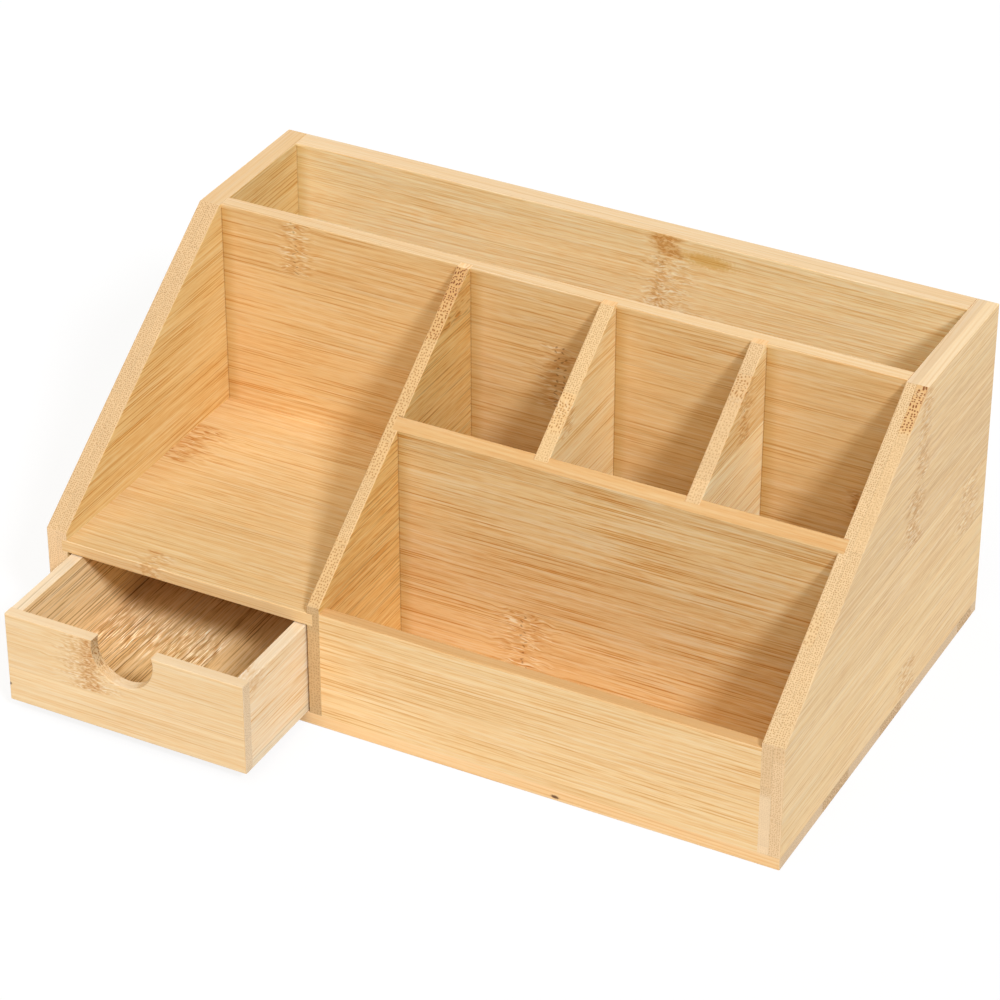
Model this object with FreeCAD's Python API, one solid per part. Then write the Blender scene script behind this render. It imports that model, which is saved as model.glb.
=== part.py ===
import FreeCAD, Part
import math
import os

# Open-topped bamboo desk organizer with one pull-out drawer at the lower left.
# Sizes are millimetres. +X is right, +Y is back, +Z is up, and the origin is the
# centre of the case's underside. The drawer stands partly open.

Vector = FreeCAD.Vector

# The case as a whole
overall_width = 300.6
overall_depth = 183.4
overall_height = 135.3
front_height = 52.5
slope_setback = 1.2

# Boards of the case
side_thickness = 8.7
back_thickness = 9.2
base_thickness = 5.2
slot_panel_thickness = 6.4
partition_thickness = 5.0
shelf_thickness = 4.9
cross_divider_thickness = 4.9
slot_divider_thickness = 5.8
rail_thickness = 5.2

# Spaces between the boards
rear_slot_depth = 50.8
drawer_bay_width = 103.0
drawer_bay_height = 39.0
front_compartment_depth = 54.8
rail_drop = 2.4

# Drawer
drawer_open = 44.2
drawer_left_gap = 1.3
drawer_right_gap = 0.8
drawer_bottom_gap = 0.4
drawer_top_gap = 0.6
drawer_rear_gap = 1.5
drawer_front_thickness = 4.7
drawer_side_thickness = 5.0
drawer_back_thickness = 5.0
drawer_bottom_thickness = 3.6
notch_radius = 13.0
notch_centre_drop = 3.5
notch_left_of_middle = 0.35

# Edges eased by sanding
outer_edge_radius = 0.4
inner_edge_radius = 0.4
underside_edge_radius = 0.5

# A housing goes less than halfway into its board, so two cut from opposite faces never meet
housing_share = 0.45

# Working values
overrun = 5.0
same_place = 0.001

# Faces of the case that the boards share
left_face = -overall_width / 2
right_face = overall_width / 2
front_face = -overall_depth / 2
back_face = overall_depth / 2
base_top = base_thickness
left_inner = left_face + side_thickness
right_inner = right_face - side_thickness
slot_rear = back_face - back_thickness
slot_panel_rear = slot_rear - rear_slot_depth
slot_panel_front = slot_panel_rear - slot_panel_thickness
slope_end = slot_panel_front - slope_setback
partition_left = left_inner + drawer_bay_width
partition_right = partition_left + partition_thickness
shelf_bottom = base_top + drawer_bay_height
shelf_top = shelf_bottom + shelf_thickness
rail_rear = front_face + rail_thickness
rail_top = front_height - rail_drop
cross_front = rail_rear + front_compartment_depth
cross_rear = cross_front + cross_divider_thickness
housing_depth = housing_share * min(
    side_thickness, partition_thickness, cross_divider_thickness, slot_panel_thickness)

# Faces of the drawer, pulled out by drawer_open
drawer_left = left_inner + drawer_left_gap
drawer_right = partition_left - drawer_right_gap
drawer_bottom = base_top + drawer_bottom_gap
drawer_top = shelf_bottom - drawer_top_gap
drawer_front = front_face - drawer_open
drawer_rear = slot_panel_front - drawer_rear_gap - drawer_open
drawer_front_rear = drawer_front + drawer_front_thickness
drawer_floor = drawer_bottom + drawer_bottom_thickness


def slope_height(depth_at):
    """Height of the sloping top edge that the sides, partition and dividers share."""
    rise = (overall_height - front_height) / (slope_end - front_face)
    return front_height + rise * (depth_at - front_face)


def block(left, right, front, rear, bottom, top):
    """A board or a cut, given by its six faces."""
    corner = Vector(left, front, bottom)
    return Part.makeBox(right - left, rear - front, top - bottom, corner)


def upright(outline, left, right):
    """A board whose outline, as depth and height, is extruded from its left face to its right."""
    corners = [Vector(left, depth_at, height_at) for depth_at, height_at in outline]
    face = Part.Face(Part.makePolygon(corners + corners[:1]))
    return face.extrude(Vector(right - left, 0, 0))


def sloped_outline(front, rear):
    """Outline that stands on the base, follows the slope and ends level at full height."""
    return [
        (front, base_top),
        (front, slope_height(front)),
        (slope_end, overall_height),
        (rear, overall_height),
        (rear, base_top),
    ]


def lies_at(low, high, place):
    """True where an edge stays at one place, or where no place is asked for."""
    return place is None or max(abs(low - place), abs(high - place)) < same_place


def edges_at(shape, x=None, y=None, z=None):
    """Edges of a shape that lie wholly at the places given."""
    chosen = []
    for edge in shape.Edges:
        box = edge.BoundBox
        along_x = lies_at(box.XMin, box.XMax, x)
        along_y = lies_at(box.YMin, box.YMax, y)
        along_z = lies_at(box.ZMin, box.ZMax, z)
        if along_x and along_y and along_z:
            chosen.append(edge)
    return chosen


def sloping(edges):
    """The edges that climb from front to back."""
    return [edge for edge in edges
            if edge.BoundBox.YLength > same_place and edge.BoundBox.ZLength > same_place]


def above(edges, height):
    """The edges that reach above a height."""
    return [edge for edge in edges if edge.BoundBox.ZMax > height + same_place]


def eased(shape, radius, edges):
    """Round the named edges, as sanding does."""
    return shape.makeFillet(radius, edges)


def shelf_housing(left, right):
    """Groove for one end of the shelf, open at the front and running back to the slot panel."""
    return block(left, right, front_face, slot_panel_front, shelf_bottom, shelf_top)


def upright_housing(left, right, front, rear):
    """Groove for an upright board, from the base out through the top edge."""
    return block(left, right, front, rear, base_top, overall_height + overrun)


def base_board():
    """Thin board under the whole case."""
    board = block(left_face, right_face, front_face, back_face, 0, base_top)
    corners = [edge for edge in board.Edges if edge.BoundBox.ZLength > same_place]
    board = eased(board, outer_edge_radius, corners)
    return eased(board, underside_edge_radius, edges_at(board, z=0))


def side_panel(outer, inner):
    """Thick side with its sloping front, rounded outside and eased along the slope inside."""
    left, right = min(outer, inner), max(outer, inner)
    board = upright(sloped_outline(front_face, back_face), left, right)
    outside = above(edges_at(board, x=outer), base_top)
    rear_top = edges_at(board, y=back_face, z=overall_height)
    board = eased(board, outer_edge_radius, outside + rear_top)
    return eased(board, inner_edge_radius, sloping(edges_at(board, x=inner)))


def left_side_panel():
    board = side_panel(left_face, left_inner)
    return board.cut(shelf_housing(left_inner - housing_depth, left_inner))


def right_side_panel():
    board = side_panel(right_face, right_inner)
    reach = right_inner + housing_depth
    return board.cut(upright_housing(right_inner, reach, cross_front, cross_rear))


def back_panel():
    """Thick back, held between the sides."""
    board = block(left_inner, right_inner, slot_rear, back_face, base_top, overall_height)
    board = eased(board, outer_edge_radius, edges_at(board, y=back_face, z=overall_height))
    return eased(board, inner_edge_radius, edges_at(board, y=slot_rear, z=overall_height))


def slot_divider_places():
    """Left faces of the two dividers that part the small compartments evenly."""
    compartments = 3
    dividers = compartments - 1
    bay = right_inner - partition_right
    clear = (bay - dividers * slot_divider_thickness) / compartments
    pitch = clear + slot_divider_thickness
    return [partition_right + clear + number * pitch for number in range(dividers)]


def slot_panel():
    """Full-height panel in front of the rear slot, grooved for the boards that meet it."""
    board = block(left_inner, right_inner, slot_panel_front, slot_panel_rear,
                  base_top, overall_height)
    for face in (slot_panel_front, slot_panel_rear):
        board = eased(board, inner_edge_radius, edges_at(board, y=face, z=overall_height))
    reach = slot_panel_front + housing_depth
    grooves = [(partition_left, partition_right)]
    grooves += [(left, left + slot_divider_thickness) for left in slot_divider_places()]
    for left, right in grooves:
        board = board.cut(upright_housing(left, right, slot_panel_front, reach))
    return board


def centre_partition():
    """Upright between the drawer side and the open side, grooved on both faces."""
    outline = sloped_outline(front_face, slot_panel_front + housing_depth)
    board = upright(outline, partition_left, partition_right)
    board = eased(board, inner_edge_radius, sloping(board.Edges))
    board = board.cut(shelf_housing(partition_left, partition_left + housing_depth))
    reach = partition_right - housing_depth
    return board.cut(upright_housing(reach, partition_right, cross_front, cross_rear))


def drawer_shelf():
    """Floor of the open tray and roof of the drawer bay, let in at both ends."""
    board = block(left_inner - housing_depth, partition_left + housing_depth,
                  front_face, slot_panel_front, shelf_bottom, shelf_top)
    return eased(board, inner_edge_radius, edges_at(board, y=front_face, z=shelf_top))


def cross_divider():
    """Board across the open side, its top planed to the slope, grooved behind."""
    outline = [
        (cross_front, base_top),
        (cross_front, slope_height(cross_front)),
        (cross_rear, slope_height(cross_rear)),
        (cross_rear, base_top),
    ]
    left = partition_right - housing_depth
    right = right_inner + housing_depth
    board = upright(outline, left, right)
    front_arris = edges_at(board, y=cross_front, z=slope_height(cross_front))
    board = eased(board, outer_edge_radius, front_arris)
    rear_arris = edges_at(board, y=cross_rear, z=slope_height(cross_rear))
    board = eased(board, inner_edge_radius, rear_arris)
    reach = cross_rear - housing_depth
    for place in slot_divider_places():
        groove = upright_housing(place, place + slot_divider_thickness, reach, cross_rear)
        board = board.cut(groove)
    return board


def slot_divider(left):
    """Small upright between two compartments, let in at both ends."""
    outline = sloped_outline(cross_rear - housing_depth, slot_panel_front + housing_depth)
    board = upright(outline, left, left + slot_divider_thickness)
    return eased(board, inner_edge_radius, sloping(board.Edges))


def front_rail():
    """Low board that closes the front of the open side."""
    board = block(partition_right, right_inner, front_face, rail_rear, base_top, rail_top)
    return eased(board, inner_edge_radius, edges_at(board, z=rail_top, y=front_face)
                 + edges_at(board, z=rail_top, y=rail_rear))


def drawer_front_board():
    """Drawer front with the round finger notch in its top edge."""
    board = block(drawer_left, drawer_right, drawer_front, drawer_front_rear,
                  drawer_bottom, drawer_top)
    centre = Vector((drawer_left + drawer_right) / 2 - notch_left_of_middle,
                    drawer_front - overrun, drawer_top - notch_centre_drop)
    length = drawer_front_thickness + overrun + overrun
    board = board.cut(Part.makeCylinder(notch_radius, length, centre, Vector(0, 1, 0)))
    return eased(board, inner_edge_radius, edges_at(board, y=drawer_front))


def drawer_side(left):
    """Drawer side, butted behind the front and standing on the bottom."""
    right = left + drawer_side_thickness
    board = block(left, right, drawer_front_rear, drawer_rear, drawer_floor, drawer_top)
    return eased(board, inner_edge_radius, edges_at(board, x=left, z=drawer_top)
                 + edges_at(board, x=right, z=drawer_top))


def drawer_back():
    """Drawer back, held between the drawer sides."""
    left = drawer_left + drawer_side_thickness
    right = drawer_right - drawer_side_thickness
    front = drawer_rear - drawer_back_thickness
    board = block(left, right, front, drawer_rear, drawer_floor, drawer_top)
    return eased(board, inner_edge_radius, edges_at(board, y=front, z=drawer_top))


def drawer_bottom_board():
    """Thin board under the drawer's sides and back, behind its front."""
    return block(drawer_left, drawer_right, drawer_front_rear, drawer_rear,
                 drawer_bottom, drawer_floor)


def build():
    """Every board of the organizer, by name."""
    left_place, right_place = slot_divider_places()
    return {
        "base_board": base_board(),
        "left_side_panel": left_side_panel(),
        "right_side_panel": right_side_panel(),
        "back_panel": back_panel(),
        "slot_panel": slot_panel(),
        "centre_partition": centre_partition(),
        "drawer_shelf": drawer_shelf(),
        "cross_divider": cross_divider(),
        "slot_divider_left": slot_divider(left_place),
        "slot_divider_right": slot_divider(right_place),
        "front_rail": front_rail(),
        "drawer_front": drawer_front_board(),
        "drawer_left_side": drawer_side(drawer_left),
        "drawer_right_side": drawer_side(drawer_right - drawer_side_thickness),
        "drawer_back": drawer_back(),
        "drawer_bottom": drawer_bottom_board(),
    }


os.makedirs("parts", exist_ok=True)
for name, board in build().items():
    board.exportStep("parts/" + name + ".step")
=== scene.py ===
import math

import bpy
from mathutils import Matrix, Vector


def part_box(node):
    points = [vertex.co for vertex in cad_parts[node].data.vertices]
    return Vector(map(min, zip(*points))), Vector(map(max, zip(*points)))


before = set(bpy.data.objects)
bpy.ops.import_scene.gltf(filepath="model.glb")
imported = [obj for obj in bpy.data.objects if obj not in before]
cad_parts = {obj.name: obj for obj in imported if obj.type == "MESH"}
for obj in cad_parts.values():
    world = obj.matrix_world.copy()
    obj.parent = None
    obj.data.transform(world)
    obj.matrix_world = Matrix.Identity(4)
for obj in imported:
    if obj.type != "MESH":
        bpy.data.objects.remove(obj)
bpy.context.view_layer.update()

# Sizes below are in millimetres unless a name says otherwise; the frame itself is in metres.
MM_PER_M = 1000.0

# Camera: where the lens stands, how it is turned in degrees, and how long it is.
CAMERA_PLACE_M = (0.56088, -1.08457, 0.83569)
CAMERA_TILT = 57.4839
CAMERA_TURN = 27.6713
LENS_MM = 139.435
SENSOR_MM = 36.0

# Lamps: turned about the upright axis, height above the floor and spread, all in degrees.
KEY_LAMP = {"turn": 53.0, "height": 40.0, "spread": 9.0, "strength": 1.98, "colour": (0.96, 1.0, 1.15)}
FILL_LAMP = {"turn": 5.0, "height": 58.0, "spread": 60.0, "strength": 1.50, "colour": (1.0, 0.96, 0.88)}
BACK_LAMP = {"turn": 236.0, "height": 11.0, "spread": 30.0, "strength": 1.3, "colour": (1.0, 0.98, 0.94)}

# Room and floor: the camera sees most of the floor as its own white, and the rest holds the shadow.
ROOM_STRENGTH = 0.28
ROOM_COLOUR = (255, 248, 233)
BACKGROUND_WHITE = (255, 255, 255)
FLOOR_HALF_WIDTH_M = 8.0
FLOOR_COLOUR = (199, 196, 190)
FLOOR_WHITE = (250, 250, 250)
FLOOR_OWN_WHITE = 0.86

# Bamboo colours, as they look in even light, 0 to 255.
STRAW = (247, 210, 156)
BLUSH = (240, 190, 142)
FIBRE = (214, 142, 44)
PALE_FIBRE = (200, 146, 96)
DULL_FIBRE = (176, 128, 50)
SLOPE_CREAM = (226, 191, 142)
SQUARE_CREAM = (242, 208, 162)
END_TAN = (225, 184, 127)
SMOOTH_END = (250, 220, 178)
# Painted highlight along the eased edges.
EDGE_HIGHLIGHT = (250, 222, 178)

# What marks do to the red, green and blue light of the bamboo under them.
PLAIN = (1.0, 1.0, 1.0)
PALE_THREAD = (1.02, 1.09, 1.26)
FIBRE_LINE = (0.70, 0.40, 0.0)
DARK_LINE = (0.38, 0.25, 0.07)
CUT_BUNDLE = (0.56, 0.36, 0.14)
DARK_BUNDLE = (0.52, 0.34, 0.15)
KNOT_BROWN = (0.70, 0.42, 0.09)
KNOT_PALE = (1.12, 1.40, 1.95)
WARM_PALE = (1.24, 1.42, 1.75)
BUD_SCAR = (0.36, 0.22, 0.09)
# Painted shade for the inner corners where boards meet: a thin dark line and a broad soft darkening.
SEAM_SHADE_BROWN = (0.40, 0.25, 0.10)
CORNER_PAINTED_SHADE = (0.83, 0.79, 0.64)
SPECK = (0.10, 0.05, 0.03)
GOLD_STAIN = (0.80, 0.62, 0.20)

# How the boards are laid up: the width of their strips, and for thick ones the thickness of a ply
# and the place of the glue line between two plies. A single ply is thicker than any board.
STRIP_WIDTH = 25.3
WIDE_STRIP = 28.0
NARROW_STRIP = 25.0
SINGLE_PLY = 2000.0
SINGLE_PLY_START = -1000.0
SIDE_PLY = 8.4
SIDE_GLUE = 145.8
BACK_PLY = 8.2
BACK_GLUE = 87.1

# Farther out than any board, for a mark that isn't held to one ply.
FAR_OFF = 400.0

# Places of knots, stains, glue lines and cut ends are counted from this point of the frame.
MARKS_FROM = (0.0, -0.5, 0.3)

AXES = {"x": 0, "y": 1, "z": 2}
SLOPE_NORMAL = (0.0, -0.5839, 0.8118)

# The standard curve between the colour that a screen shows and the light that it gives.
SCREEN_FULL = 255.0
CURVE_TOE_END = 0.04045
CURVE_TOE_SLOPE = 12.92
CURVE_SHIFT = 0.055
CURVE_POWER = 2.4

# Sockets of the mix node, which has one set for numbers and one for colours.
MIX_SHARE = 0
NUMBERS_IN = (2, 3)
NUMBER_OUT = 0
COLOURS_IN = (6, 7)
COLOUR_OUT = 2

SOCKET_KINDS = {"vector": "NodeSocketVector", "number": "NodeSocketFloat", "colour": "NodeSocketColor"}


def light_share(share):
    """The light that a shade on a screen gives, both from nothing to one."""
    if share <= CURVE_TOE_END:
        return share / CURVE_TOE_SLOPE
    return ((share + CURVE_SHIFT) / (1.0 + CURVE_SHIFT)) ** CURVE_POWER


def light_value(colour):
    """A colour as the eye sees it, turned into the light values that shaders work in."""
    return (*[light_share(value / SCREEN_FULL) for value in colour], 1.0)


def add(tree, kind, **settings):
    """Puts a shader node in the tree with its settings."""
    made = tree.nodes.new(kind)
    for name, value in settings.items():
        setattr(made, name, value)
    return made


def feed(tree, source, target):
    """Links an output into a socket, or writes a plain value there."""
    if isinstance(source, bpy.types.NodeSocket):
        tree.links.new(source, target)
    else:
        target.default_value = source


def feed_all(tree, sources, targets):
    """Feeds several sources into the first sockets of a node."""
    for source, target in zip(sources, targets):
        feed(tree, source, target)


def calc(tree, operation, *terms):
    """One sum on numbers."""
    made = add(tree, "ShaderNodeMath", operation=operation)
    feed_all(tree, terms, made.inputs)
    return made.outputs[0]


def times(tree, first, *others):
    """Numbers multiplied together."""
    for other in others:
        first = calc(tree, "MULTIPLY", first, other)
    return first


def vector_calc(tree, operation, *terms):
    """One sum on vectors that gives a vector."""
    made = add(tree, "ShaderNodeVectorMath", operation=operation)
    feed_all(tree, terms, made.inputs)
    return made.outputs["Vector"]


def vector_number(tree, operation, *terms):
    """One sum on vectors that gives a number."""
    made = add(tree, "ShaderNodeVectorMath", operation=operation)
    feed_all(tree, terms, made.inputs)
    return made.outputs["Value"]


def scaled(tree, vector, factor):
    """A vector or colour made longer or brighter."""
    made = add(tree, "ShaderNodeVectorMath", operation="SCALE")
    feed(tree, vector, made.inputs[0])
    feed(tree, factor, made.inputs["Scale"])
    return made.outputs["Vector"]


def split(tree, vector):
    """The three parts of a vector."""
    made = add(tree, "ShaderNodeSeparateXYZ")
    feed(tree, vector, made.inputs[0])
    return tuple(made.outputs)


def joined(tree, first, second, third):
    """A vector from three parts."""
    made = add(tree, "ShaderNodeCombineXYZ")
    feed_all(tree, (first, second, third), made.inputs)
    return made.outputs[0]


def step(tree, value, low, high, first=0.0, last=1.0):
    """A soft step from one value to another."""
    made = add(tree, "ShaderNodeMapRange", interpolation_type="SMOOTHSTEP")
    feed_all(tree, (value, low, high, first, last), made.inputs)
    return made.outputs[0]


def within(tree, value, low, high, fade_start, fade_end):
    """One between two limits and nothing outside; the fade is counted inwards from each limit."""
    return times(tree, step(tree, calc(tree, "SUBTRACT", value, low), fade_start, fade_end),
                 step(tree, calc(tree, "SUBTRACT", high, value), fade_start, fade_end))


def blend(tree, share, first, second, how="MIX"):
    """Two colours mixed."""
    made = add(tree, "ShaderNodeMix", data_type="RGBA", blend_type=how, clamp_factor=True)
    feed(tree, share, made.inputs[MIX_SHARE])
    feed_all(tree, (first, second), [made.inputs[number] for number in COLOURS_IN])
    return made.outputs[COLOUR_OUT]


def blend_numbers(tree, share, first, second):
    """Two numbers mixed."""
    made = add(tree, "ShaderNodeMix", data_type="FLOAT")
    feed(tree, share, made.inputs[MIX_SHARE])
    feed_all(tree, (first, second), [made.inputs[number] for number in NUMBERS_IN])
    return made.outputs[NUMBER_OUT]


def stain(tree, colour, share, tone):
    """A mark's tone laid over a colour as a stain."""
    return blend(tree, share, colour, (*tone, 1.0), how="MULTIPLY")


# Cloudy noise: how rough it is, and which way another start moves along it.
NOISE_ROUGHNESS = 0.55
NOISE_START_PATH = (1.0, 0.7, 1.3)
NOISE_MIDDLE = 0.5


def noise(tree, place, size, start=0.0, detail=0.0, output=0):
    """Cloudy noise whose blots are as long, wide and deep as size; another start, other blots."""
    stretched = vector_calc(tree, "DIVIDE", place, size)
    if start:
        moved = [start * part for part in NOISE_START_PATH]
        stretched = vector_calc(tree, "ADD", stretched, moved)
    made = add(tree, "ShaderNodeTexNoise")
    feed(tree, stretched, made.inputs["Vector"])
    made.inputs["Scale"].default_value = 1.0
    made.inputs["Detail"].default_value = detail
    made.inputs["Roughness"].default_value = NOISE_ROUGHNESS
    return made.outputs[output]


def swing(tree, pattern, reach, start):
    """A start value that noise pushes up and down by half its reach."""
    return calc(tree, "MULTIPLY_ADD", calc(tree, "SUBTRACT", pattern, NOISE_MIDDLE), reach, start)


def cells(tree, first, second, size, loose):
    """Distance to the nearest of many points scattered on a plane."""
    made = add(tree, "ShaderNodeTexVoronoi", feature="F1", voronoi_dimensions="2D")
    spread = vector_calc(tree, "DIVIDE", joined(tree, first, second, 0.0), (*size, 1.0))
    feed(tree, spread, made.inputs["Vector"])
    made.inputs["Scale"].default_value = 1.0
    made.inputs["Randomness"].default_value = loose
    return made.outputs["Distance"]


def row_of_points(tree, place, spacing, loose):
    """Distance to the nearest of many points scattered along a line."""
    made = add(tree, "ShaderNodeTexVoronoi", feature="F1", voronoi_dimensions="1D")
    feed(tree, calc(tree, "DIVIDE", place, spacing), made.inputs["W"])
    made.inputs["Scale"].default_value = 1.0
    made.inputs["Randomness"].default_value = loose
    return calc(tree, "MULTIPLY", made.outputs["Distance"], spacing)


def group_tree(name, takes, gives):
    """An empty node group with named sockets."""
    tree = bpy.data.node_groups.new(name, "ShaderNodeTree")
    for in_out, sockets in (("INPUT", takes), ("OUTPUT", gives)):
        for label, kind in sockets:
            tree.interface.new_socket(name=label, in_out=in_out, socket_type=SOCKET_KINDS[kind])
    return tree, add(tree, "NodeGroupInput").outputs, add(tree, "NodeGroupOutput").inputs


def use_group(tree, group, **values):
    """Puts a group in a tree and fills its sockets."""
    made = add(tree, "ShaderNodeGroup", node_tree=group)
    for label, value in values.items():
        feed(tree, value, made.inputs[label.replace("_", " ")])
    return made.outputs


# How far from a glue line its dark reaches in full, and where it ends.
GLUE_FADE = (0.05, 0.30)


def to_nearer_end(tree, share):
    """How far a share is from nothing or from one, whichever is nearer."""
    return calc(tree, "MINIMUM", share, calc(tree, "SUBTRACT", 1.0, share))


def make_strip_group():
    """Finds which glued strip a point is in, and whether it is on a glue line."""
    tree, takes, gives = group_tree(
        "bamboo_strips",
        [("Place", "vector"), ("Strip Width", "number"), ("Strip Start", "number"),
         ("Ply", "number"), ("Ply Start", "number"), ("Stagger", "number"), ("Seed", "number")],
        [("Luck", "number"), ("Lucks", "vector"), ("Glue", "number")])
    _, across, through = split(tree, takes["Place"])
    depth = calc(tree, "DIVIDE", calc(tree, "SUBTRACT", through, takes["Ply Start"]), takes["Ply"])
    layer = calc(tree, "FLOOR", depth)
    position = calc(tree, "SUBTRACT", across, takes["Strip Start"])
    position = calc(tree, "DIVIDE", position, takes["Strip Width"])
    position = calc(tree, "ADD", position, times(tree, layer, takes["Stagger"]))
    strip = calc(tree, "FLOOR", position)
    chance = add(tree, "ShaderNodeTexWhiteNoise", noise_dimensions="3D")
    feed(tree, joined(tree, strip, layer, takes["Seed"]), chance.inputs["Vector"])
    feed(tree, chance.outputs["Value"], gives["Luck"])
    feed(tree, chance.outputs["Color"], gives["Lucks"])
    strip_share = calc(tree, "SUBTRACT", position, strip)
    layer_share = calc(tree, "SUBTRACT", depth, layer)
    nearest = calc(tree, "MINIMUM", times(tree, to_nearer_end(tree, strip_share), takes["Strip Width"]),
                   times(tree, to_nearer_end(tree, layer_share), takes["Ply"]))
    feed(tree, step(tree, nearest, *GLUE_FADE, 1.0, 0.0), gives["Glue"])
    return tree


# Run of the fibres: how much a strip's own slant varies, how they dive, and how they wander.
SLANT_RANGE = 0.016
DIVE = 0.014
STRIP_SHIFT = 900.0
WANDER_SIZE = (150.0, 22.0, 22.0)
WANDER_ACROSS = 1.4
WANDER_THROUGH = 2.0

# Streaks: how long, wide and deep each kind is, and how much it darkens the straw.
FINE_SIZE = (6.0, 0.42, 0.42)
FINE_SHARE = 0.85
DRAWN_SIZE = (70.0, 0.60, 0.60)
DRAWN_SHARE = 0.70
THIN_SIZE = (60.0, 0.90, 0.90)
THIN_SHARE = 0.14
MIDDLING_SIZE = (90.0, 1.9, 1.9)
MIDDLING_SHARE = 0.14
BAND_SIZE = (220.0, 5.5, 5.5)
BAND_SHARE = 0.06
HONEY = 0.1
STRIP_TONE_SHARE = -2.5

# Where thin streaks turn dark and pale, and where blushing patches begin and how strong they are.
THIN_DARK = (0.50, 0.62)
THIN_PALE = (0.44, 0.35)
PATCH_SIZE = (140.0, 26.0, 26.0)
PATCH_EDGE = (0.40, 0.70)
PATCH_SHARE = 0.06

# Broken dark lines: how far apart they are, how scattered, how wide and how faint in their gaps.
LINE_SPACING = (1.15, 1.15)
LINE_SCATTER = 0.75
LINE_EDGE = (0.30, 0.15)
LINE_BREAKS = (0.30, 0.60)
LINE_FAINTEST = 0.25

# How much the patterns lighten or darken the wood as a whole.
FINE_GAIN = 0.10
BAND_GAIN = 0.09
TONE_GAIN = 0.4
GLUE_GAIN = -0.07

# Cut ends: how squarely a face must cut the fibres to show them and to count as square, and the
# shallowest cut that still draws the bundles out.
END_EDGE = (0.25, 0.50)
SQUARE_EDGE = (0.62, 0.92)
SHALLOWEST_CUT = 0.3

# Fibre bundles on cut ends: small ones all over, and large ones on coarse stretches.
SMALL_SPACING = (0.82, 0.82)
SMALL_SCATTER = 0.55
SMALL_EDGE = (0.36, 0.16)
SMALL_ON_SLOPE = 0.75
SMALL_ON_SQUARE = 0.50
LARGE_SPACING = (1.22, 1.12)
LARGE_SCATTER = 0.58
LARGE_EDGE = (0.36, 0.18)
LARGE_FAINTEST = 0.40

# How coarse a cut end is where it turns smooth, where large bundles come in, and where they darken.
SMOOTH_EDGE = (0.0, -0.4)
SMOOTH_FADE = -0.8
COARSE_EDGE = (0.05, 0.35)
COARSE_RISE = (0.0, 0.9)
COARSEST_EDGE = (0.9, 1.4)
COARSEST_STAIN = 0.22


def fibre_place(tree, takes):
    """A point's place along, across and through the fibres of its strip."""
    luck_shift, luck_slant, _ = split(tree, takes["Lucks"])
    along, across, through = split(tree, takes["Flow"])
    slant = times(tree, calc(tree, "SUBTRACT", luck_slant, NOISE_MIDDLE), SLANT_RANGE)
    across = calc(tree, "MULTIPLY_ADD", along, slant, across)
    through = calc(tree, "MULTIPLY_ADD", along, DIVE, through)
    along = calc(tree, "MULTIPLY_ADD", luck_shift, STRIP_SHIFT, along)
    wander = noise(tree, joined(tree, along, across, through), WANDER_SIZE)
    across = swing(tree, wander, WANDER_ACROSS, across)
    through = swing(tree, wander, WANDER_THROUGH, through)
    return along, across, through


def dark_lines(tree, takes, across, through, middling):
    """Broken dark lines along the fibres."""
    line = step(tree, cells(tree, across, through, LINE_SPACING, LINE_SCATTER), *LINE_EDGE)
    breaks = step(tree, middling, *LINE_BREAKS, first=LINE_FAINTEST)
    return times(tree, line, breaks, takes["Lines"])


def grain_colour(tree, takes, fibre_parts, fine, bands, tone):
    """Along the grain: thin orange fibres on straw, crisp where they are dark."""
    _, across, through = fibre_parts
    fibres = joined(tree, *fibre_parts)
    drawn = noise(tree, fibres, DRAWN_SIZE, start=41.0)
    thin = noise(tree, fibres, THIN_SIZE, start=11.0)
    middling = noise(tree, fibres, MIDDLING_SIZE, start=17.0)
    patches = noise(tree, fibres, PATCH_SIZE, start=37.0)

    streaks = times(tree, step(tree, thin, *THIN_DARK), THIN_SHARE)
    for pattern, strength in ((fine, FINE_SHARE), (drawn, DRAWN_SHARE),
                              (middling, MIDDLING_SHARE), (bands, BAND_SHARE)):
        streaks = swing(tree, pattern, strength, streaks)
    share = calc(tree, "MULTIPLY_ADD", streaks, takes["Contrast"], HONEY)
    share = calc(tree, "MULTIPLY_ADD", tone, STRIP_TONE_SHARE, share)

    blushing = times(tree, step(tree, patches, *PATCH_EDGE), PATCH_SHARE)
    colour = blend(tree, blushing, light_value(STRAW), light_value(BLUSH))
    colour = blend(tree, share, colour, takes["Fibre"])
    threads = times(tree, step(tree, thin, *THIN_PALE), takes["Contrast"])
    colour = stain(tree, colour, threads, PALE_THREAD)
    line = dark_lines(tree, takes, across, through, middling)
    colour = blend(tree, line, colour, takes["Line Tone"], how="MULTIPLY")
    return vector_calc(tree, "MULTIPLY", colour, takes["Tint"])


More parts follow.
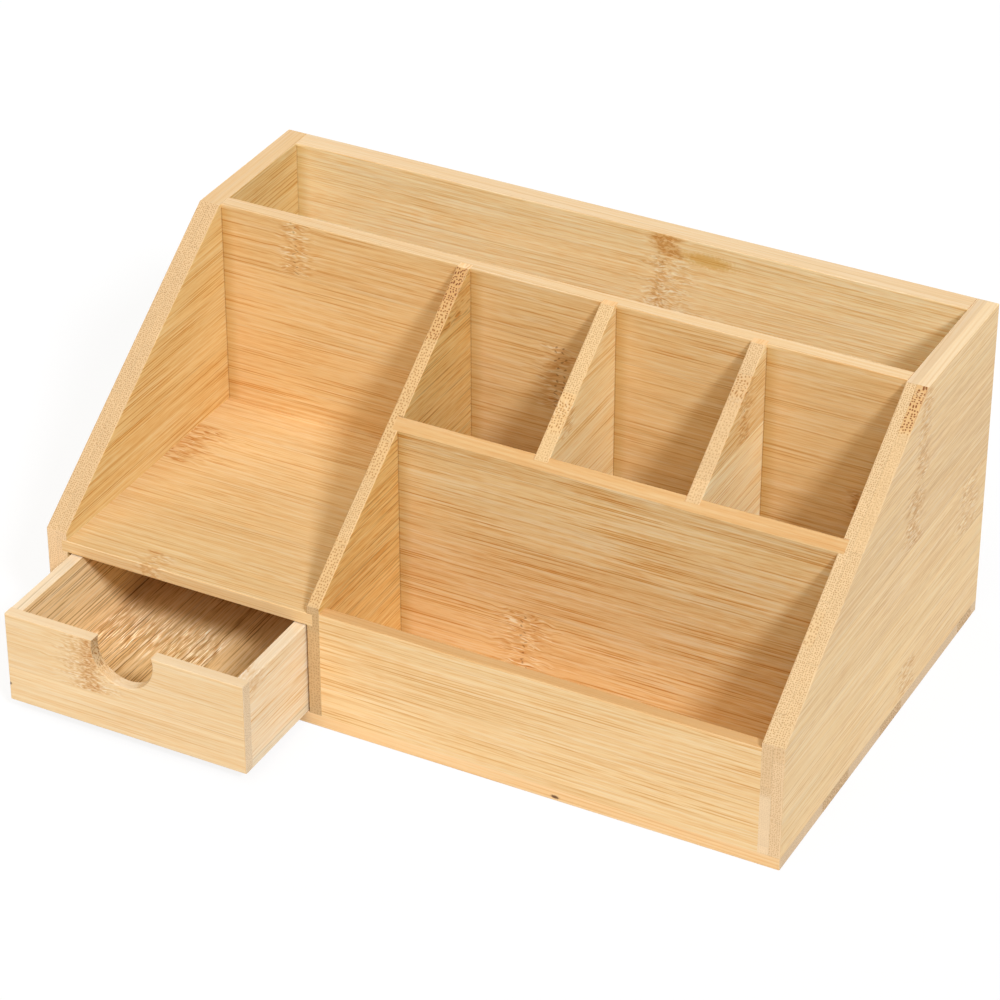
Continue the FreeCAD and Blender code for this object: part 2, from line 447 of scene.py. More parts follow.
def end_colour(tree, takes, across, through):
    """Across the grain: cut ends of the fibre bundles, dots about a millimetre apart."""
    facing = takes["Facing"]
    coarse_cut = takes["Coarse"]
    cut = calc(tree, "DIVIDE", across, calc(tree, "MAXIMUM", facing, SHALLOWEST_CUT))
    smooth = step(tree, coarse_cut, *SMOOTH_EDGE)
    coarsest = step(tree, coarse_cut, *COARSEST_EDGE)

    colour = blend(tree, step(tree, facing, *SQUARE_EDGE), light_value(SLOPE_CREAM),
                   light_value(SQUARE_CREAM))
    colour = blend(tree, coarse_cut, colour, light_value(END_TAN))
    colour = blend(tree, smooth, colour, light_value(SMOOTH_END))

    small = step(tree, cells(tree, cut, through, SMALL_SPACING, SMALL_SCATTER), *SMALL_EDGE)
    small = times(tree, small, step(tree, facing, *SQUARE_EDGE, SMALL_ON_SLOPE, SMALL_ON_SQUARE),
                  calc(tree, "MULTIPLY_ADD", smooth, SMOOTH_FADE, 1.0))
    large = step(tree, cells(tree, cut, through, LARGE_SPACING, LARGE_SCATTER), *LARGE_EDGE)
    large = times(tree, large, step(tree, coarse_cut, *COARSE_RISE, first=LARGE_FAINTEST))
    dots = blend_numbers(tree, step(tree, coarse_cut, *COARSE_EDGE), small, large)

    colour = stain(tree, colour, dots, CUT_BUNDLE)
    colour = stain(tree, colour, times(tree, coarsest, COARSEST_STAIN), KNOT_BROWN)
    colour = stain(tree, colour, times(tree, coarsest, large), DARK_BUNDLE)
    return vector_calc(tree, "MULTIPLY", colour, takes["End Tint"])


def make_grain_group():
    """Bamboo fibre: the colour at a point of one strip."""
    tree, takes, gives = group_tree(
        "bamboo_grain",
        [("Flow", "vector"), ("Luck", "number"), ("Lucks", "vector"), ("Glue", "number"),
         ("Facing", "number"), ("Coarse", "number"), ("Contrast", "number"),
         ("Tone Spread", "number"), ("Lines", "number"), ("Line Tone", "colour"),
         ("Fibre", "colour"), ("Tint", "vector"), ("End Tint", "vector")],
        [("Colour", "colour")])
    fibre_parts = fibre_place(tree, takes)
    fibres = joined(tree, *fibre_parts)
    fine = noise(tree, fibres, FINE_SIZE)
    bands = noise(tree, fibres, BAND_SIZE, start=23.0)
    tone = times(tree, calc(tree, "SUBTRACT", takes["Luck"], NOISE_MIDDLE), takes["Tone Spread"])

    along_grain = grain_colour(tree, takes, fibre_parts, fine, bands, tone)
    cut_ends = end_colour(tree, takes, *fibre_parts[1:])
    colour = blend(tree, step(tree, takes["Facing"], *END_EDGE), along_grain, cut_ends)

    gain = swing(tree, fine, FINE_GAIN, 1.0)
    gain = calc(tree, "MULTIPLY_ADD", tone, TONE_GAIN, gain)
    gain = swing(tree, bands, BAND_GAIN, gain)
    gain = calc(tree, "MULTIPLY_ADD", takes["Glue"], GLUE_GAIN, gain)
    feed(tree, scaled(tree, colour, gain), gives["Colour"])
    return tree


# Knots, where the cane had its joints: how they sway across the strip, how far their core and
# their halo reach, and how softly they end at the strip's edges and at the glue line.
KNOT_SWAY_SIZE = (60.0, 1.8, 12.0)
KNOT_SWAY = 1.8
KNOT_CORE = (1.4, 0.5)
KNOT_HALO = (2.6, 0.4)
STRIP_FADE = (0.0, 0.8)
PLY_FADE = (-0.1, 0.1)

# Curls that bend the fibres round a knot, and how much they bend the flames too.
CURL_SIZE = (6.0, 3.2, 8.0)
CURL_REACH = (10.0, 2.8, 2.0)
CURL_ON_FLAMES = (0.15, 0.5, 0.0)
COLOUR_MIDDLE = (0.5, 0.5, 0.5)

# Brown and pale flames: their size, and where in the noise they begin.
FLECK_SIZE = (1.0, 0.66, 1.1)
FLECK_EDGE = (0.47, 0.56)
PALE_SIZE = (1.2, 0.62, 1.1)
PALE_EDGE = (0.51, 0.59)

# Bud scars: small dark dots in a weaving row across the strip.
SCAR_SPACING = 2.4
SCAR_SCATTER = 0.7
SCAR_WEAVE_SIZE = (60.0, 2.0, 12.0)
SCAR_WEAVE = 6.0
SCAR_EDGE = (0.62, 0.30)


def bud_scars(tree, place, offset, across):
    """The row of bud scars, one above another across the strip."""
    up = row_of_points(tree, across, SCAR_SPACING, SCAR_SCATTER)
    side = swing(tree, noise(tree, place, SCAR_WEAVE_SIZE, start=29.0), SCAR_WEAVE, offset)
    reach = vector_number(tree, "LENGTH", joined(tree, side, up, 0.0))
    return step(tree, reach, *SCAR_EDGE)


def make_knot_group():
    """A knot that crosses one strip: brown and pale flames and a row of bud scars."""
    tree, takes, gives = group_tree(
        "cane_knot",
        [("Place", "vector"), ("Centre", "number"), ("Low", "number"), ("High", "number"),
         ("Half Width", "number"), ("Near", "number"), ("Far", "number"), ("Curl", "number"),
         ("Flame", "number")],
        [("Mask", "number"), ("Bend", "vector"), ("Flecks", "number"), ("Dots", "number"),
         ("Pale", "number")])
    place = takes["Place"]
    along, across, through = split(tree, place)
    offset = calc(tree, "SUBTRACT", along, takes["Centre"])
    sway_reach = times(tree, takes["Half Width"], KNOT_SWAY)
    away = swing(tree, noise(tree, place, KNOT_SWAY_SIZE, start=5.0), sway_reach, offset)
    away = calc(tree, "DIVIDE", calc(tree, "ABSOLUTE", away), takes["Half Width"])
    inside = times(tree, within(tree, across, takes["Low"], takes["High"], *STRIP_FADE),
                   within(tree, through, takes["Near"], takes["Far"], *PLY_FADE))
    core = times(tree, step(tree, away, *KNOT_CORE), inside)
    halo = times(tree, step(tree, away, *KNOT_HALO), inside)
    feed(tree, core, gives["Mask"])

    turn = noise(tree, place, CURL_SIZE, output="Color")
    turn = vector_calc(tree, "MULTIPLY", vector_calc(tree, "SUBTRACT", turn, COLOUR_MIDDLE), CURL_REACH)
    turn = scaled(tree, turn, times(tree, halo, takes["Curl"]))
    feed(tree, turn, gives["Bend"])

    curled = vector_calc(tree, "MULTIPLY_ADD", turn, CURL_ON_FLAMES, place)
    along, across, through = split(tree, curled)
    licks = joined(tree, calc(tree, "DIVIDE", along, takes["Flame"]), across, through)
    flecks = noise(tree, licks, FLECK_SIZE, start=3.0)
    feed(tree, times(tree, step(tree, flecks, *FLECK_EDGE), core), gives["Flecks"])
    pale = noise(tree, licks, PALE_SIZE, start=17.0)
    feed(tree, times(tree, step(tree, pale, *PALE_EDGE), core), gives["Pale"])
    feed(tree, times(tree, bud_scars(tree, place, offset, across), inside), gives["Dots"])
    return tree


# Blots: how ragged their edge is, and how soft.
RAG_SIZE = (1.2, 1.2, 1.2)
RAG_DETAIL = 2.0
RAG_DEPTH = 0.9
BLOT_EDGE = (1.45, 0.75)


def make_blot_group():
    """A small ragged blot round one point."""
    tree, takes, gives = group_tree(
        "blot", [("Place", "vector"), ("Centre", "vector"), ("Reach", "vector")],
        [("Mask", "number")])
    away = vector_calc(tree, "SUBTRACT", takes["Place"], takes["Centre"])
    away = vector_number(tree, "LENGTH", vector_calc(tree, "DIVIDE", away, takes["Reach"]))
    rag = noise(tree, takes["Place"], RAG_SIZE, detail=RAG_DETAIL)
    rag = calc(tree, "MULTIPLY_ADD", rag, RAG_DEPTH, away)
    feed(tree, step(tree, rag, *BLOT_EDGE), gives["Mask"])
    return tree


STRIPS = make_strip_group()
GRAIN = make_grain_group()
KNOT = make_knot_group()
BLOT = make_blot_group()


# A knot's marks: how strong its brown flames, its pale flames, its bud scars and the haze over it
# are, how much it curls the fibres round it, and how long its flames are drawn out.
def knot(at, strip, half_width, brown, pale, dots=0.0, haze=0.15, curl=1.0, flame=3.2,
         near=-FAR_OFF, far=FAR_OFF, light=KNOT_PALE):
    """One knot: its place along the grain, its strip's two edges, half its width and its marks."""
    return {"at": at, "strip": strip, "half_width": half_width, "near": near, "far": far,
            "brown": brown, "pale": pale, "dots": dots, "haze": haze, "curl": curl,
            "flame": flame, "light": light}


def coarse(low, high, amount, near=-FAR_OFF, far=FAR_OFF, axis="z"):
    """A stretch of cut ends with large dark bundles, or smooth ones where the amount is negative."""
    return {"low": low, "high": high, "amount": amount, "near": near, "far": far, "axis": axis}


def blot(centre, reach, colour=SPECK, strength=0.9):
    """One stain or speck on a board, at its place, and how far it reaches each way."""
    return {"centre": centre, "reach": reach, "colour": colour, "strength": strength}


def seam(at, high, back=FAR_OFF, strength=0.38):
    """An upright inner corner where another board meets this one, up to a height and a depth, darkened
    by painted shade.
    """
    return {"at": at, "high": high, "back": back, "strength": strength}


# Painted corner shade: how far its dark line stands off the corner, how it fades, how far the broad
# shade reaches.
SEAM_INSET = 0.2
SEAM_SHADE_LINE = (0.36, 0.1)
CORNER_SHADE_REACH = 6.5


def right_of(board):
    """Place of the seam where the right-hand face of a board meets the board behind it."""
    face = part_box(board)[1].x * MM_PER_M
    return face - MARKS_FROM[0] + SEAM_INSET


def board_place(tree, axes):
    """The bare place, the place along, across and through the board, and the face's normal."""
    coordinates = add(tree, "ShaderNodeTexCoord").outputs
    place = scaled(tree, coordinates["Object"], MM_PER_M)
    place = vector_calc(tree, "SUBTRACT", place, MARKS_FROM)
    parts = split(tree, place)
    turned = joined(tree, *[parts[AXES[axis]] for axis in axes])
    return place, turned, coordinates["Normal"]


def facing_along(tree, normal, axis):
    """How squarely the surface looks along an axis, either way, 0 to 1."""
    return calc(tree, "ABSOLUTE", split(tree, normal)[AXES[axis]])


# How far the ends of a coarse stretch fade, and when a face counts as a narrow edge or an arris.
COARSE_FADE = (-0.9, 0.9)
NARROW_EDGE = (0.35, 0.75)
ARRIS_EDGE = (0.985, 0.86)


def coarse_share(tree, place, turned, zones):
    """How large and dark the cut bundles are at a point."""
    total = 0.0
    for zone in zones:
        position = split(tree, place)[AXES[zone["axis"]]]
        _, _, through = split(tree, turned)
        inside = times(tree, within(tree, position, zone["low"], zone["high"], *COARSE_FADE),
                       within(tree, through, zone["near"], zone["far"], *PLY_FADE))
        total = calc(tree, "MULTIPLY_ADD", inside, zone["amount"], total)
    return total


def arris_share(tree, normal):
    """One on the eased edges, nothing on the flats and the slope."""
    squarest = calc(tree, "ABSOLUTE", vector_number(tree, "DOT_PRODUCT", normal, SLOPE_NORMAL))
    for axis in AXES:
        squarest = calc(tree, "MAXIMUM", squarest, facing_along(tree, normal, axis))
    return step(tree, squarest, *ARRIS_EDGE)


# When a face counts as looking outwards, as cut squarely, and as too much of an end for flames.
OUTER_EDGE = (0.2, 0.6)
SQUARE_TINT_EDGE = (0.7, 0.9)
OFF_ENDS_EDGE = (0.55, 0.35)

# How much contrast and how many lines a narrow edge loses, and how strongly a painted highlight lightens
# the eased edges.
EDGE_CALM = -0.5
EDGE_HIGHLIGHT_SHARE = 0.10


def knot_marks(tree, turned, knots):
    """The fibres' place, bent round every knot, and what each knot marks."""
    flow = turned
    marks = []
    for item in knots:
        low, high = item["strip"]
        mark = use_group(tree, KNOT, Place=turned, Centre=item["at"], Low=low, High=high,
                         Half_Width=item["half_width"], Near=item["near"], Far=item["far"],
                         Curl=item["curl"], Flame=item["flame"])
        flow = vector_calc(tree, "ADD", flow, mark["Bend"])
        marks.append((item, mark))
    return flow, marks


def with_knots(tree, colour, marks, facing):
    """A colour with the haze, flames and bud scars of its knots."""
    off_ends = step(tree, facing, *OFF_ENDS_EDGE)
    for item, mark in marks:
        colour = stain(tree, colour, times(tree, mark["Mask"], item["haze"]), KNOT_BROWN)
        colour = stain(tree, colour, times(tree, mark["Pale"], item["pale"]), item["light"])
        flecks = times(tree, mark["Flecks"], off_ends, item["brown"])
        colour = stain(tree, colour, flecks, KNOT_BROWN)
        dots = times(tree, mark["Dots"], off_ends, item["dots"])
        colour = stain(tree, colour, dots, BUD_SCAR)
    return colour


def with_blots(tree, colour, place, blots):
    """A colour with its stains and specks."""
    for item in blots:
        mark = use_group(tree, BLOT, Place=place, Centre=item["centre"], Reach=item["reach"])
        colour = stain(tree, colour, times(tree, mark["Mask"], item["strength"]), item["colour"])
    return colour


def with_painted_corner_shade(tree, colour, place, seams):
    """A colour with painted shade in its inner corners: a thin dark line and a broad soft darkening."""
    for item in seams:
        across, depth, height = split(tree, place)
        away = calc(tree, "ABSOLUTE", calc(tree, "SUBTRACT", across, item["at"]))
        here = times(tree, calc(tree, "LESS_THAN", height, item["high"]),
                     calc(tree, "LESS_THAN", depth, item["back"]))
        # Painted shade: a broad darkening towards the corner, then a thin dark line along it.
        lacquer = times(tree, step(tree, away, CORNER_SHADE_REACH, 0.0), here)
        colour = stain(tree, colour, lacquer, CORNER_PAINTED_SHADE)
        line = times(tree, step(tree, away, *SEAM_SHADE_LINE), item["strength"], here)
        colour = stain(tree, colour, line, SEAM_SHADE_BROWN)
    return colour


def face_tint(tree, normal, axis, face, outer, outer_side):
    """Tint of the broad faces; the outer one, which looks to one side, can have its own."""
    if not outer:
        return (*face, 1.0)
    looks_out = times(tree, split(tree, normal)[AXES[axis]], outer_side)
    return blend(tree, step(tree, looks_out, *OUTER_EDGE), (*face, 1.0), (*outer, 1.0))


# Lacquer: roughness, how much the fibres vary it, and how deep they are felt.
RELIEF_SIZE = (30.0, 0.5, 0.5)
ROUGHNESS = 0.58
ROUGHNESS_RANGE = -0.16
SPECULAR = 0.35
BUMP_STRENGTH = 0.35
BUMP_DEPTH_M = 0.00008


def cleared_tree(holder):
    """The empty node tree of a material or a world."""
    holder.use_nodes = True
    holder.node_tree.nodes.clear()
    return holder.node_tree


def finish_tree(tree, kind, surface):
    """Sends a surface to the output of a material or a world."""
    output = add(tree, kind)
    feed(tree, surface, output.inputs["Surface"])


def lacquered(tree, colour, turned):
    """Satin lacquer over the bamboo, in which its fibres are just felt."""
    shader = add(tree, "ShaderNodeBsdfPrincipled")
    feed(tree, colour, shader.inputs["Base Color"])
    relief = noise(tree, turned, RELIEF_SIZE)
    roughness = calc(tree, "MULTIPLY_ADD", relief, ROUGHNESS_RANGE, ROUGHNESS)
    feed(tree, roughness, shader.inputs["Roughness"])
    shader.inputs["Specular IOR Level"].default_value = SPECULAR
    bump = add(tree, "ShaderNodeBump")
    bump.inputs["Strength"].default_value = BUMP_STRENGTH
    bump.inputs["Distance"].default_value = BUMP_DEPTH_M
    feed(tree, relief, bump.inputs["Height"])
    feed(tree, bump.outputs["Normal"], shader.inputs["Normal"])
    return shader.outputs[0]


# A board's own values: how it is laid up, how strong its streaks and broken lines are, how far its
# strips differ in tone, the tints of its broad faces, narrow edges, sloping ends, square ends and
# outer face, what is marked on it, and the inner corners where shade is painted.
def bamboo(name, axes, strip_start, seed, strip_width=STRIP_WIDTH,
           ply=SINGLE_PLY, ply_start=SINGLE_PLY_START, stagger=0.0,
           contrast=1.0, tone_spread=0.08, lines=0.55, line_tone=FIBRE_LINE, fibre=FIBRE,
           face=PLAIN, edge=PLAIN, end=PLAIN, square=PLAIN, outer=None, outer_side=1.0,
           knots=(), zones=(), blots=(), seams=()):
    """Lacquered bamboo for one board; axes are along the grain, across the board and through it."""
    along, across, through = axes
    material = bpy.data.materials.new(name)
    tree = cleared_tree(material)
    place, turned, normal = board_place(tree, axes)
    flow, marks = knot_marks(tree, turned, knots)
    strips = use_group(tree, STRIPS, Place=turned, Strip_Width=strip_width,
                       Strip_Start=strip_start, Ply=ply, Ply_Start=ply_start,
                       Stagger=stagger, Seed=seed)
    facing = facing_along(tree, normal, along)
    on_edge = step(tree, facing_along(tree, normal, across), *NARROW_EDGE)
    broad = face_tint(tree, normal, through, face, outer, outer_side)
    ends = blend(tree, step(tree, facing, *SQUARE_TINT_EDGE), (*end, 1.0), (*square, 1.0))
    grain = use_group(tree, GRAIN, Flow=flow, Luck=strips["Luck"], Lucks=strips["Lucks"],
                      Glue=strips["Glue"], Facing=facing,
                      Coarse=coarse_share(tree, place, turned, zones),
                      Contrast=calc(tree, "MULTIPLY_ADD", on_edge, EDGE_CALM * contrast, contrast),
                      Tone_Spread=tone_spread,
                      Lines=calc(tree, "MULTIPLY_ADD", on_edge, EDGE_CALM * lines, lines),
                      Line_Tone=(*line_tone, 1.0), Fibre=light_value(fibre),
                      Tint=blend(tree, on_edge, broad, (*edge, 1.0)), End_Tint=ends)
    colour = with_knots(tree, grain["Colour"], marks, facing)
    colour = with_blots(tree, colour, place, blots)
    # Painted shade in the inner corners where other boards meet this one.
    colour = with_painted_corner_shade(tree, colour, place, seams)
    # Painted highlight: the eased edges lightened towards a pale colour.
    painted_highlight = times(tree, arris_share(tree, normal), EDGE_HIGHLIGHT_SHARE)
    colour = blend(tree, painted_highlight, colour, light_value(EDGE_HIGHLIGHT))
    finish_tree(tree, "ShaderNodeOutputMaterial", lacquered(tree, colour, turned))
    return material


def dress(board, material):
    """Gives a board its bamboo."""
    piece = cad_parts[board]
    if not piece.material_slots:
        piece.data.materials.append(material)
    for holder in piece.material_slots:
        holder.material = material


def dress_base_board():
    """Three coarse stretches on the cut ends, and a dark speck on the front edge."""
    dress("base_board", bamboo(
        "bamboo_base", "xyz", strip_start=5.0, seed=1.0, contrast=0.8,
        square=(0.84, 0.87, 0.91),
        zones=[coarse(low, high, 0.7, axis="y")
               for low, high in ((-54.0, -31.0), (-2.0, 18.0), (73.0, 87.0))],
        blots=[blot(centre=(62.5, -91.2, 1.4), reach=(2.6, 1.0, 1.0))]))


def dress_left_side():
    """Two plies, with many broken lines along the grain."""
    dress("left_side_panel", bamboo(
        "bamboo_left_side", "yzx", strip_start=22.7, seed=1224.0,
        ply=SIDE_PLY, ply_start=-SIDE_GLUE, stagger=0.52, contrast=0.9, lines=0.7,
        face=(0.85, 0.89, 0.73), edge=(0.79, 0.78, 0.76), end=(0.9, 0.9, 0.91),
        outer=(0.88, 0.90, 0.92), outer_side=-1.0))


def dress_right_side():
    """Two plies: knots climb the outer one, and its cut ends are coarse and dark at the top."""
    dress("right_side_panel", bamboo(
        "bamboo_right_side", "yzx", strip_start=20.1, seed=625.0,
        ply=SIDE_PLY, ply_start=SIDE_GLUE, stagger=-0.46,
        contrast=0.85, lines=0.25, fibre=PALE_FIBRE,
        face=(0.94, 0.97, 0.93), edge=(0.9, 0.98, 1.12), end=(0.93, 0.96, 0.99),
        square=(0.94, 0.95, 0.96),
        zones=[coarse(4.9, 30.0, -0.28, far=SIDE_GLUE), coarse(31.5, 52.0, 0.20, far=SIDE_GLUE),
               coarse(74.0, 82.1, 0.40, far=SIDE_GLUE), coarse(46.0, 52.0, 0.25, near=SIDE_GLUE),
               coarse(52.0, 96.1, 0.08, near=SIDE_GLUE), coarse(96.1, 124.0, 0.20, near=SIDE_GLUE),
               coarse(124.0, 136.0, 1.3, near=SIDE_GLUE)],
        knots=[knot(at=24.0, strip=(121.4, 135.1), half_width=4.5, near=SIDE_GLUE,
                    brown=0.42, dots=0.1, pale=0.4, haze=0.14),
               knot(at=24.0, strip=(96.1, 121.4), half_width=5.0, near=SIDE_GLUE,
                    brown=0.42, dots=0.15, pale=0.5, haze=0.14),
               knot(at=19.5, strip=(70.8, 96.1), half_width=7.0, near=SIDE_GLUE,
                    brown=0.5, dots=0.2, pale=0.5, haze=0.12),
               knot(at=75.0, strip=(45.5, 70.8), half_width=8.0, near=SIDE_GLUE,
                    brown=0.38, pale=0.5, haze=0.06),
               knot(at=21.0, strip=(4.9, 20.2), half_width=7.0, near=SIDE_GLUE,
                    brown=0.42, pale=0.5, haze=0.10)]))


def dress_back():
    """Two plies: a dark knot at the top, flames below it, and a gold stain beside it."""
    dress("back_panel", bamboo(
        "bamboo_back", "xzy", strip_start=24.5, seed=4.0,
        ply=BACK_PLY, ply_start=BACK_GLUE, stagger=0.5, contrast=0.75, lines=0.35,
        face=(1.02, 1.2, 1.3), edge=(0.87, 0.96, 1.12), outer=(0.90, 0.92, 0.94),
        knots=[knot(at=20.0, strip=(125.5, 135.1), half_width=6.0, far=BACK_GLUE,
                    brown=0.5, pale=0.25, haze=0.55, flame=1.4),
               knot(at=17.5, strip=(100.2, 125.5), half_width=3.5, far=BACK_GLUE,
                    brown=0.4, dots=0.25, pale=0.25, haze=0.08, flame=1.6),
               knot(at=22.0, strip=(100.2, 125.5), half_width=9.0, far=BACK_GLUE,
                    brown=0.22, pale=0.5, haze=0.06, flame=2.4)],
        blots=[blot(centre=(37.0, 83.0, 127.8), reach=(16.0, 2.0, 4.0),
                    colour=GOLD_STAIN, strength=0.66)],
        # Painted shade in the inner corner beside the left side.
        seams=[seam(at=right_of("left_side_panel"), high=134.0, back=85.0, strength=0.26)]))


def dress_slot_panel():
    """Wide strips: knots over the tray and in the first and last of the pen compartments."""
    dress("slot_panel", bamboo(
        "bamboo_slot_panel", "xzy", strip_start=-0.4, seed=959.0, strip_width=WIDE_STRIP,
        contrast=0.85, face=(0.85, 0.83, 0.73), edge=(0.86, 0.91, 0.98),
        knots=[knot(at=-109.5, strip=(112.0, 135.1), half_width=5.5,
                    brown=0.42, dots=0.45, pale=0.75, haze=0.03, flame=2.8),
               knot(at=2.5, strip=(83.6, 111.6), half_width=6.5,
                    brown=0.42, dots=0.65, pale=0.65, haze=0.12, flame=5.0),
               knot(at=5.5, strip=(83.6, 111.6), half_width=2.0,
                    brown=0.0, dots=0.65, pale=0.0, haze=0.0, curl=0.0),
               knot(at=125.0, strip=(70.0, 83.6), half_width=3.0,
                    brown=0.5, dots=0.3, pale=0.4, haze=0.2)],
        # Painted shade in the inner corners beside the left side, the partition and both dividers.
        seams=[seam(at=right_of(board), high=133.5, back=28.0)
               for board in ("left_side_panel", "centre_partition",
                             "slot_divider_left", "slot_divider_right")]))


def dress_partition():
    """Strong dark lines, and cut ends that get coarser up the slope, darkest at the top."""
    dress("centre_partition", bamboo(
        "bamboo_partition", "yzx", strip_start=17.2, seed=1312.0, strip_width=NARROW_STRIP,
        contrast=1.5, lines=0.50, line_tone=DARK_LINE,
        face=(0.81, 0.77, 0.52), end=(0.9, 0.88, 0.82), square=(0.74, 0.71, 0.63),
        outer=(0.88, 0.90, 0.88), outer_side=-1.0,
        zones=[coarse(4.9, 49.5, 0.27), coarse(52.6, 68.4, 0.50), coarse(83.0, 117.0, 0.50),
               coarse(117.0, 127.0, 1.1), coarse(127.0, 136.0, 1.4)],
        knots=[knot(at=14.0, strip=(117.0, 137.0), half_width=9.0,
                    brown=0.2, pale=0.15, haze=0.16, flame=5.0)]))


def dress_shelf():
    """Two knots in the tray's floor, one at its left edge and one at its front edge."""
    dress("drawer_shelf", bamboo(
        "bamboo_shelf", "xyz", strip_start=3.5, seed=1069.0, strip_width=WIDE_STRIP,
        contrast=0.75, lines=0.45, face=(0.78, 0.79, 0.74), edge=(0.94, 0.97, 0.96),
        knots=[knot(at=-141.0, strip=(-24.5, 3.5), half_width=11.0,
                    brown=0.66, pale=0.45, haze=0.18, curl=1.2, flame=5.0),
               knot(at=-106.0, strip=(-95.0, -81.3), half_width=5.5,
                    brown=0.40, dots=0.15, pale=0.30, haze=0.06, flame=2.6)]))


def dress_cross_divider():
    """One pale knot low in the wide compartment."""
    dress("cross_divider", bamboo(
        "bamboo_cross_divider", "xzy", strip_start=4.0, seed=1448.0, strip_width=WIDE_STRIP,
        contrast=1.1, lines=0.70, tone_spread=0.10,
        face=(0.79, 0.81, 0.75), edge=(0.76, 0.7, 0.59),
        knots=[knot(at=18.5, strip=(0.0, 32.0), half_width=8.5,
                    brown=0.45, dots=0.60, pale=0.70, haze=0.0, flame=4.0)],
        # Painted shade in the inner corner beside the partition.
        seams=[seam(at=right_of("centre_partition"), high=94.5)]))


def dress_slot_dividers():
    """Two thin dividers, each with a small knot and two coarse stretches on its slope."""
    dress("slot_divider_left", bamboo(
        "bamboo_divider_left", "yzx", strip_start=13.7, seed=1039.0, strip_width=NARROW_STRIP,
        contrast=0.8, tone_spread=0.14, face=(1.0, 1.12, 1.1), end=(0.97, 0.98, 0.95),
        zones=[coarse(95.0, 104.3, 0.20), coarse(104.3, 113.7, 0.65)],
        knots=[knot(at=-12.0, strip=(100.0, 112.0), half_width=4.0,
                    brown=0.5, dots=0.1, pale=0.4, haze=0.12)]))
    dress("slot_divider_right", bamboo(
        "bamboo_divider_right", "yzx", strip_start=2.8, seed=395.0, strip_width=NARROW_STRIP,
        contrast=0.8, tone_spread=0.25, face=(1.04, 1.23, 1.33), end=(0.94, 0.95, 0.96),
        zones=[coarse(95.0, 123.0, 0.25), coarse(122.5, 127.6, 0.60)],
        knots=[knot(at=9.0, strip=(102.8, 128.0), half_width=4.5,
                    brown=0.5, dots=0.35, pale=0.2, haze=0.14)]))


def dress_rail():
    """Quiet, even bamboo."""
    dress("front_rail", bamboo(
        "bamboo_rail", "xzy", strip_start=0.0, seed=156.0, contrast=0.7,
        face=(0.97, 1.0, 0.99), edge=(0.73, 0.65, 0.54)))


def dress_drawer_front():
    """A knot left of the finger notch, coarse fibres on the notch's flank, a speck at the left end."""
    dress("drawer_front", bamboo(
        "bamboo_drawer_front", "xzy", strip_start=20.2, seed=557.0, contrast=0.5, lines=0.25,
        face=(0.98, 1.05, 1.15), edge=(0.86, 0.97, 1.19), square=(0.86, 0.97, 1.12),
        zones=[coarse(-108.0, -99.0, 0.9, axis="x")],
        knots=[knot(at=-104.5, strip=(20.2, 43.4), half_width=3.5,
                    brown=0.5, pale=0.25, haze=0.28, flame=1.4),
               knot(at=-105.5, strip=(20.2, 43.4), half_width=10.0,
                    brown=0.34, pale=0.3, haze=0.06, flame=1.8)],
        blots=[blot(centre=(-140.3, -135.4, 12.5), reach=(1.3, 1.3, 1.0))]))


def dress_drawer_sides():
    """Dull fibres with dark lines on the left, paler bamboo with one small knot on the right."""
    dress("drawer_left_side", bamboo(
        "bamboo_drawer_left", "yzx", strip_start=20.2, seed=13.0,
        lines=0.70, line_tone=DARK_LINE, fibre=DULL_FIBRE,
        face=(1.03, 1.09, 1.06), edge=(0.84, 0.96, 1.22)))
    dress("drawer_right_side", bamboo(
        "bamboo_drawer_right", "yzx", strip_start=37.2, seed=14.0, contrast=0.7,
        face=(0.94, 1.12, 1.44), edge=(0.91, 1.09, 1.48),
        knots=[knot(at=-126.0, strip=(37.2, 46.0), half_width=4.5,
                    brown=0.3, pale=0.3)]))


def dress_drawer_back():
    """Plain bamboo, hidden under the shelf."""
    dress("drawer_back", bamboo(
        "bamboo_drawer_back", "xzy", strip_start=20.2, seed=15.0, edge=(0.95, 1.06, 1.15)))


def dress_drawer_bottom():
    """Dull fibres with dark lines, and long pale flames across two strips on the left."""
    dress("drawer_bottom", bamboo(
        "bamboo_drawer_bottom", "yxz", strip_start=-134.6, seed=16.0,
        contrast=1.3, lines=0.85, line_tone=DARK_LINE, fibre=DULL_FIBRE,
        face=(0.87, 0.84, 0.75), edge=(0.87, 1.05, 1.39),
        knots=[knot(at=-80.0, strip=(-134.6, -109.3), half_width=12.0,
                    brown=0.45, pale=1.0, haze=0.0, curl=0.3, flame=6.0, light=WARM_PALE),
               knot(at=-82.0, strip=(-109.3, -84.0), half_width=12.0,
                    brown=0.45, pale=1.0, haze=0.0, curl=0.3, flame=6.0, light=WARM_PALE),
               knot(at=-81.0, strip=(-134.6, -84.0), half_width=13.0,
                    brown=0.0, pale=0.8, haze=0.0, curl=0.0, flame=7.0, light=WARM_PALE)]))


def dress_case():
    """The boards of the open case."""
    dress_base_board()
    dress_left_side()
    dress_right_side()
    dress_back()
    dress_slot_panel()
    dress_partition()
    dress_shelf()
    dress_cross_divider()
    dress_slot_dividers()
    dress_rail()


def dress_drawer():
    """The boards of the drawer."""
    dress_drawer_front()
    dress_drawer_sides()
    dress_drawer_back()
    dress_drawer_bottom()


def coloured(tree, kind, colour, strength=None):
    """A plain surface or light of one colour."""
    made = add(tree, kind)
    made.inputs["Color"].default_value = light_value(colour)
    if strength is not None:
        made.inputs["Strength"].default_value = strength
    return made.outputs[0]


def mixed_surfaces(tree, share, first, second):
    """Two surfaces mixed."""
    made = add(tree, "ShaderNodeMixShader")
    feed_all(tree, (share, first, second), made.inputs)
    return made.outputs[0]


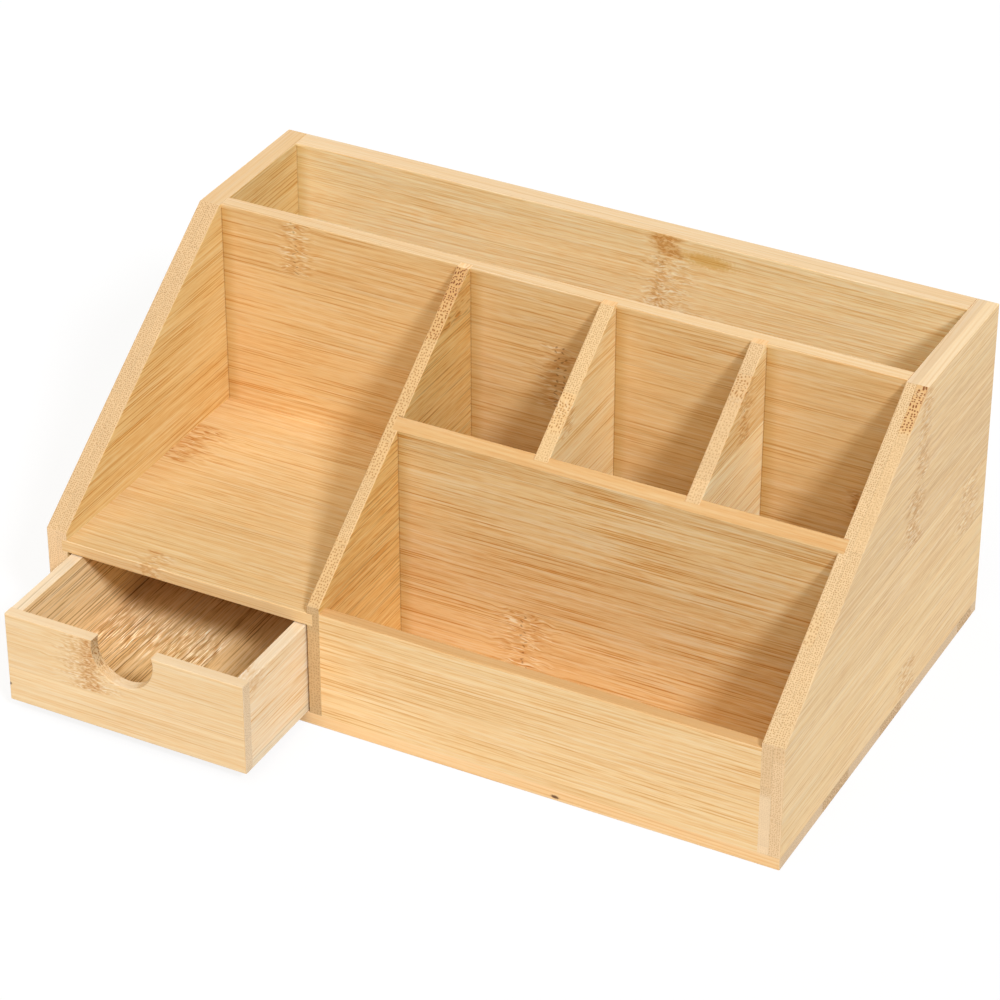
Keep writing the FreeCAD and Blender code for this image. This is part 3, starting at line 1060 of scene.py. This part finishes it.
def seen_share(tree):
    """One for rays that show the background: to the camera, in gloss and through glass."""
    path = add(tree, "ShaderNodeLightPath").outputs
    share = calc(tree, "MAXIMUM", path["Is Camera Ray"], path["Is Glossy Ray"])
    return calc(tree, "MAXIMUM", share, path["Is Transmission Ray"])


def make_floor():
    """Plain pale floor, white to the camera but still holding a soft shadow."""
    bpy.ops.object.select_all(action="DESELECT")
    bpy.ops.mesh.primitive_plane_add(size=2 * FLOOR_HALF_WIDTH_M, location=(0, 0, 0))
    floor = bpy.context.object
    floor.name = "studio_floor"
    material = bpy.data.materials.new("pale_floor")
    tree = cleared_tree(material)
    unseen = coloured(tree, "ShaderNodeBsdfDiffuse", FLOOR_COLOUR)
    seen = mixed_surfaces(tree, FLOOR_OWN_WHITE,
                          coloured(tree, "ShaderNodeBsdfDiffuse", FLOOR_WHITE),
                          coloured(tree, "ShaderNodeEmission", BACKGROUND_WHITE, 1.0))
    finish_tree(tree, "ShaderNodeOutputMaterial", mixed_surfaces(tree, seen_share(tree), unseen, seen))
    floor.data.materials.append(material)


def make_room():
    """Even pale light from all round, and a white background."""
    world = bpy.data.worlds.new("studio_room")
    bpy.context.scene.world = world
    tree = cleared_tree(world)
    light = coloured(tree, "ShaderNodeBackground", ROOM_COLOUR, ROOM_STRENGTH)
    white = coloured(tree, "ShaderNodeBackground", BACKGROUND_WHITE, 1.0)
    finish_tree(tree, "ShaderNodeOutputWorld", mixed_surfaces(tree, seen_share(tree), light, white))


def make_lamp(name, turn, height, spread, strength, colour):
    """A far lamp that shines down from a height, turned about the upright axis."""
    lamp = bpy.data.lights.new(name, "SUN")
    lamp.energy = strength
    lamp.color = colour
    lamp.angle = math.radians(spread)
    holder = bpy.data.objects.new(name, lamp)
    bpy.context.scene.collection.objects.link(holder)
    holder.rotation_euler = (math.radians(90.0 - height), 0.0, math.radians(turn))


def make_lamps():
    """A soft key from the front right, a wide fill from high in front, a low one from behind left."""
    make_lamp("key_light", **KEY_LAMP)
    make_lamp("fill_light", **FILL_LAMP)
    make_lamp("back_light", **BACK_LAMP)


def make_camera():
    """Camera at the photograph's place."""
    lens = bpy.data.cameras.new("camera")
    lens.lens = LENS_MM
    lens.sensor_width = SENSOR_MM
    holder = bpy.data.objects.new("camera", lens)
    bpy.context.scene.collection.objects.link(holder)
    holder.location = CAMERA_PLACE_M
    holder.rotation_euler = (math.radians(CAMERA_TILT), 0.0, math.radians(CAMERA_TURN))
    bpy.context.scene.camera = holder


bpy.context.scene.view_settings.view_transform = "Standard"
make_camera()
make_room()
make_lamps()
make_floor()
dress_case()
dress_drawer()
